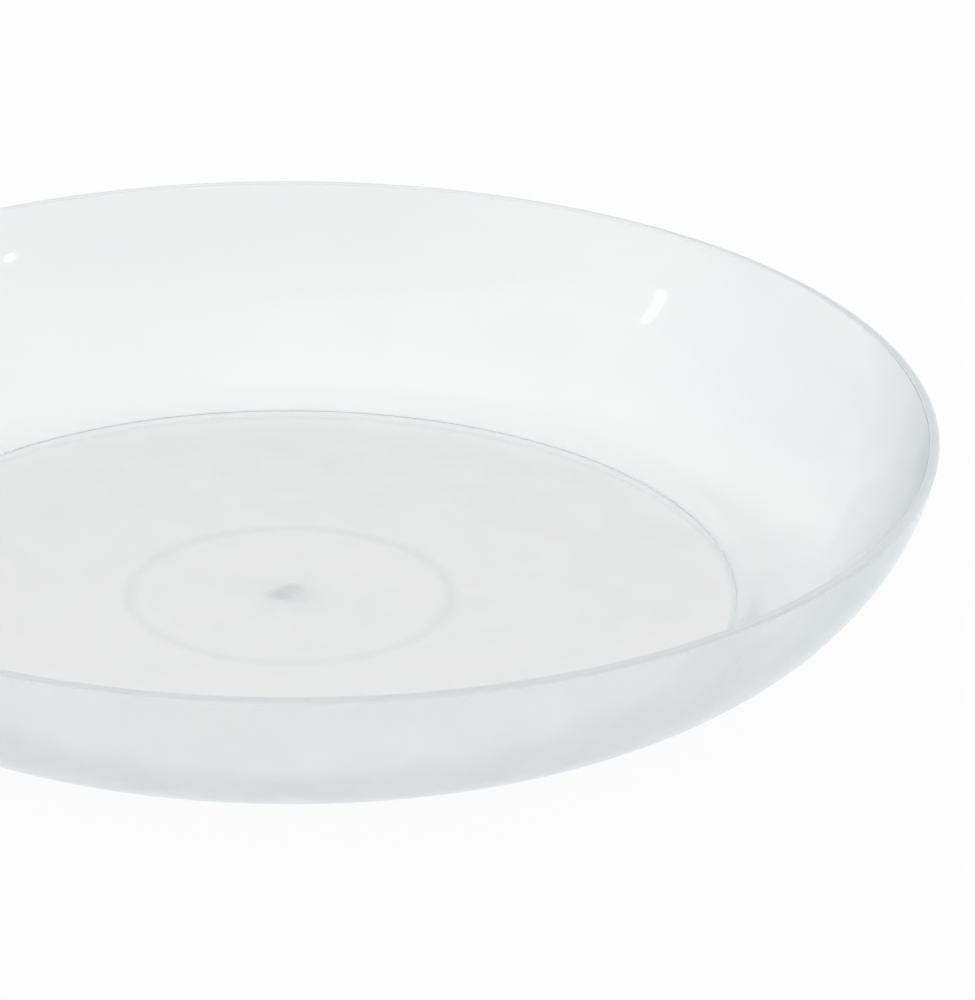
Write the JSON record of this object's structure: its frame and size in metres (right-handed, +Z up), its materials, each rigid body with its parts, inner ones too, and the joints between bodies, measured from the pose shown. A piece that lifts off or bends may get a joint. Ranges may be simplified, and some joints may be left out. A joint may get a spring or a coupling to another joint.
{
  "type": "plant saucer",
  "caption": "Round shallow saucer in frosted translucent plastic: flat floor with a step round it, one curved wall up to a rounded rim, and a low disc foot.",
  "frame": {"origin": "middle of the foot's flat underside, on the saucer's axis, where it stands", "axes": "+Z up along the saucer's axis, X and Y level and alike"},
  "size_m": [0.16, 0.16, 0.0242],
  "materials": {
    "frosted_plastic": "translucent, polished inside and frosted outside"
  },
  "bodies": {
    "root": {"saucer": "frosted_plastic"}
  },
  "joints": []
}
